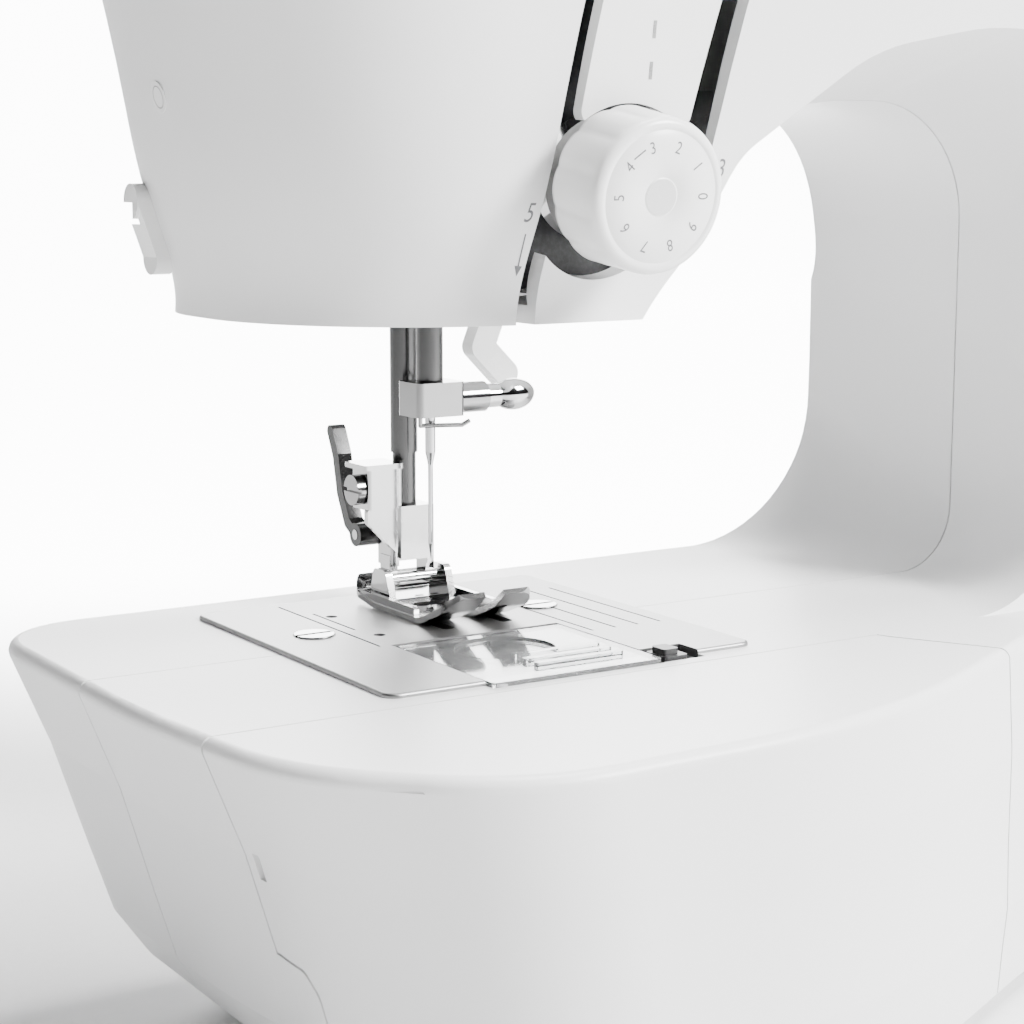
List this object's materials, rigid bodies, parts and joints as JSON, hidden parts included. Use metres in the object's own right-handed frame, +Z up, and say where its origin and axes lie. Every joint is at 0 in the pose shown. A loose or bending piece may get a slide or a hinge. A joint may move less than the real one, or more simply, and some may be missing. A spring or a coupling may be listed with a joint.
{
  "type": "sewing machine",
  "caption": "Free-arm household sewing machine with a front accessory tray, drop-in bobbin, clip-on presser foot, thread tension dial, handwheel and carrying handle.",
  "frame": {"origin": "centre of the machine's outline on the plane its rubber feet stand on", "axes": "+Z up, +X from the needle to the column and handwheel, -Y towards the sewer"},
  "size_m": [0.3501, 0.1411, 0.2975],
  "materials": {
    "white_shell": "satin white moulded plastic",
    "white_trim": "smooth white moulded plastic",
    "plate_steel": "satin brushed",
    "polished_steel": "polished",
    "bar_steel": "ground and polished",
    "needle_steel": "polished",
    "clear_plastic": "clear moulded",
    "dark_plastic": "matt",
    "grey_plastic": "matt",
    "cast_frame": "die cast",
    "bronze": "sintered",
    "belt_rubber": "matt",
    "foot_rubber": "matt",
    "motor_steel": "satin",
    "brass_pins": "polished",
    "lamp_lens": "frosted",
    "black_lever": "gloss black"
  },
  "bodies": {
    "machine": {"base_pan": "white_shell", "front_cover": "white_shell", "rear_cover": "white_shell", "face_cover": "white_shell", "channel_cover": "white_trim", "top_cover": "white_shell", "needle_plate": "plate_steel", "plate_screws": "polished_steel", "bobbin_case": "dark_plastic", "motor": "motor_steel", "chassis": "cast_frame", "shaft_bushes": "bronze", "presser_spring": "bar_steel", "hinge_pins": "bar_steel", "tension_discs": "polished_steel", "channel_floor": "dark_plastic", "spool_pin": "white_trim", "winder_stop": "white_trim", "thread_cutter": "white_trim", "cutter_blade": "bar_steel", "face_screw_cap": "white_trim", "lamp": "lamp_lens", "inlet_panel": "dark_plastic", "inlet_pins": "brass_pins", "rubber_feet": "foot_rubber", "pan_screws": "bar_steel", "timing_belt": "belt_rubber", "drive_belt": "belt_rubber"},
    "tray": {"accessory_tray": "white_shell"},
    "bobbin_lid": {"bobbin_cover": "clear_plastic"},
    "lid_tab": {"release_tab": "dark_plastic"},
    "cradle": {"needle_cradle": "cast_frame"},
    "needle_carrier": {"needle_bar": "bar_steel", "needle_clamp": "polished_steel", "needle": "needle_steel"},
    "clamp_knob": {"clamp_screw": "polished_steel"},
    "shaft": {"main_shaft": "bar_steel", "handwheel": "white_trim"},
    "rod": {"connecting_rod": "cast_frame"},
    "take_up": {"take_up_lever": "polished_steel"},
    "low_shaft": {"lower_shaft": "bar_steel"},
    "hook_body": {"hook": "bar_steel"},
    "bobbin_body": {"bobbin": "clear_plastic"},
    "motor_rotor": {"motor_pulley": "dark_plastic"},
    "feed_carrier": {"feed_bar": "bar_steel"},
    "feed_teeth": {"feed_dog": "bar_steel"},
    "presser": {"presser_bar": "bar_steel", "foot_holder": "polished_steel"},
    "holder_screw": {"foot_screw": "polished_steel"},
    "snap_lever": {"foot_release": "black_lever"},
    "foot": {"presser_foot": "polished_steel"},
    "lifter": {"presser_lifter": "white_trim"},
    "tension_knob": {"tension_dial": "white_trim"},
    "pattern_knob": {"pattern_dial": "white_trim", "cam_stack": "grey_plastic"},
    "reverse": {"reverse_lever": "white_trim"},
    "handle": {"carry_handle": "white_trim"},
    "cap": {"spool_cap": "white_trim"},
    "winder": {"winder_spindle": "polished_steel"},
    "rocker": {"power_switch": "dark_plastic"}
  },
  "joints": [
    {"name": "tray_slide", "type": "slide", "parent": "machine", "child": "tray", "axis": [-1, 0, 0], "range_m": [0, 0.165]},
    {"name": "bobbin_lid_tip", "type": "hinge", "parent": "machine", "child": "bobbin_lid", "pos_m": [-0.1019, 0.01117, 0.07247], "axis": [-1, 0, 0], "range_deg": [0, 6]},
    {"name": "lid_tab_slide", "type": "slide", "parent": "machine", "child": "lid_tab", "axis": [1, 0, 0], "range_m": [0, 0.0018], "stiffness_N_per_m": 150},
    {"name": "stitch_width_swing", "type": "hinge", "parent": "machine", "child": "cradle", "pos_m": [-0.105, 0.03585, 0.2605], "axis": [0, 1, 0], "range_deg": [-0.8, 0.8]},
    {"name": "needle_stroke", "type": "slide", "parent": "cradle", "child": "needle_carrier", "axis": [0, 0, 1], "range_m": [-0.0233, 0.0067]},
    {"name": "clamp_screw_turn", "type": "hinge", "parent": "needle_carrier", "child": "clamp_knob", "pos_m": [-0.0875, 0.03585, 0.1134], "axis": [1, 0, 0], "range_deg": [0, 540]},
    {"name": "handwheel_turn", "type": "hinge", "parent": "machine", "child": "shaft", "pos_m": [0.0525, 0.03585, 0.2335], "axis": [1, 0, 0], "continuous": true},
    {"name": "rod_turn", "type": "hinge", "parent": "shaft", "child": "rod", "pos_m": [-0.0905, 0.04829, 0.24189], "axis": [1, 0, 0], "continuous": true},
    {"name": "take_up_swing", "type": "hinge", "parent": "machine", "child": "take_up", "pos_m": [-0.0951, 0.01185, 0.2255], "axis": [1, 0, 0], "range_deg": [-8, 20]},
    {"name": "lower_shaft_turn", "type": "hinge", "parent": "machine", "child": "low_shaft", "pos_m": [0.0025, 0.03585, 0.0335], "axis": [1, 0, 0], "continuous": true},
    {"name": "hook_turn", "type": "hinge", "parent": "machine", "child": "hook_body", "pos_m": [-0.1019, 0.00235, 0.0435], "axis": [0, 0, 1], "continuous": true},
    {"name": "bobbin_turn", "type": "hinge", "parent": "machine", "child": "bobbin_body", "pos_m": [-0.1019, 0.00235, 0.0575], "axis": [0, 0, 1], "continuous": true},
    {"name": "motor_turn", "type": "hinge", "parent": "machine", "child": "motor_rotor", "pos_m": [0.1025, 0.00785, 0.0465], "axis": [1, 0, 0], "continuous": true},
    {"name": "feed_stroke", "type": "slide", "parent": "machine", "child": "feed_carrier", "axis": [0, 1, 0], "range_m": [-0.002, 0.002]},
    {"name": "feed_drop", "type": "slide", "parent": "feed_carrier", "child": "feed_teeth", "axis": [0, 0, 1], "range_m": [-0.0024, 0]},
    {"name": "presser_lift", "type": "slide", "parent": "machine", "child": "presser", "axis": [0, 0, 1], "range_m": [0, 0.0061], "deforming": ["presser_spring"]},
    {"name": "holder_screw_turn", "type": "hinge", "parent": "presser", "child": "holder_screw", "pos_m": [-0.1075, 0.04585, 0.0959], "axis": [-1, 0, 0], "range_deg": [0, 540]},
    {"name": "snap_lever_press", "type": "hinge", "parent": "presser", "child": "snap_lever", "pos_m": [-0.1025, 0.05285, 0.0859], "axis": [1, 0, 0], "range_deg": [0, 14], "stiffness_Nm_per_rad": 0.05},
    {"name": "foot_rock", "type": "hinge", "parent": "presser", "child": "foot", "pos_m": [-0.0975, 0.04285, 0.0787], "axis": [-1, 0, 0], "range_deg": [0, 10]},
    {"name": "lifter_raise", "type": "hinge", "parent": "machine", "child": "lifter", "pos_m": [-0.1065, 0.05385, 0.1435], "axis": [0, -1, 0], "range_deg": [0, 30]},
    {"name": "tension_turn", "type": "hinge", "parent": "machine", "child": "tension_knob", "pos_m": [-0.095, -0.03315, 0.1519], "axis": [0, -0.989, -0.1478], "range_deg": [-160, 160]},
    {"name": "pattern_turn", "type": "hinge", "parent": "machine", "child": "pattern_knob", "pos_m": [0.0885, -0.02615, 0.1855], "axis": [0, -1, 0], "continuous": true},
    {"name": "reverse_press", "type": "hinge", "parent": "machine", "child": "reverse", "pos_m": [0.0605, -0.00815, 0.1255], "axis": [1, 0, 0], "range_deg": [0, 14], "stiffness_Nm_per_rad": 0.6},
    {"name": "handle_raise", "type": "hinge", "parent": "machine", "child": "handle", "pos_m": [-0.0095, 0.03985, 0.2795], "axis": [-1, 0, 0], "range_deg": [0, 88]},
    {"name": "spool_cap_slide", "type": "slide", "parent": "machine", "child": "cap", "axis": [-1, 0, 0], "range_m": [0, 0.0045]},
    {"name": "winder_turn", "type": "hinge", "parent": "machine", "child": "winder", "pos_m": [0.1285, 0.01585, 0.2835], "axis": [0, 0, 1], "continuous": true},
    {"name": "switch_rock", "type": "hinge", "parent": "machine", "child": "rocker", "pos_m": [0.1481, 0.03885, 0.0415], "axis": [0, 1, 0], "range_deg": [0, 9]}
  ],
  "couplings": [
    {"joint": "rod_turn", "follows": "handwheel_turn", "ratio": -1},
    {"joint": "lower_shaft_turn", "follows": "handwheel_turn", "ratio": 1},
    {"joint": "hook_turn", "follows": "handwheel_turn", "ratio": 2},
    {"joint": "motor_turn", "follows": "handwheel_turn", "ratio": 3.3846},
    {"joint": "lifter_raise", "follows": "presser_lift", "rad_per_m": 85.835}
  ]
}
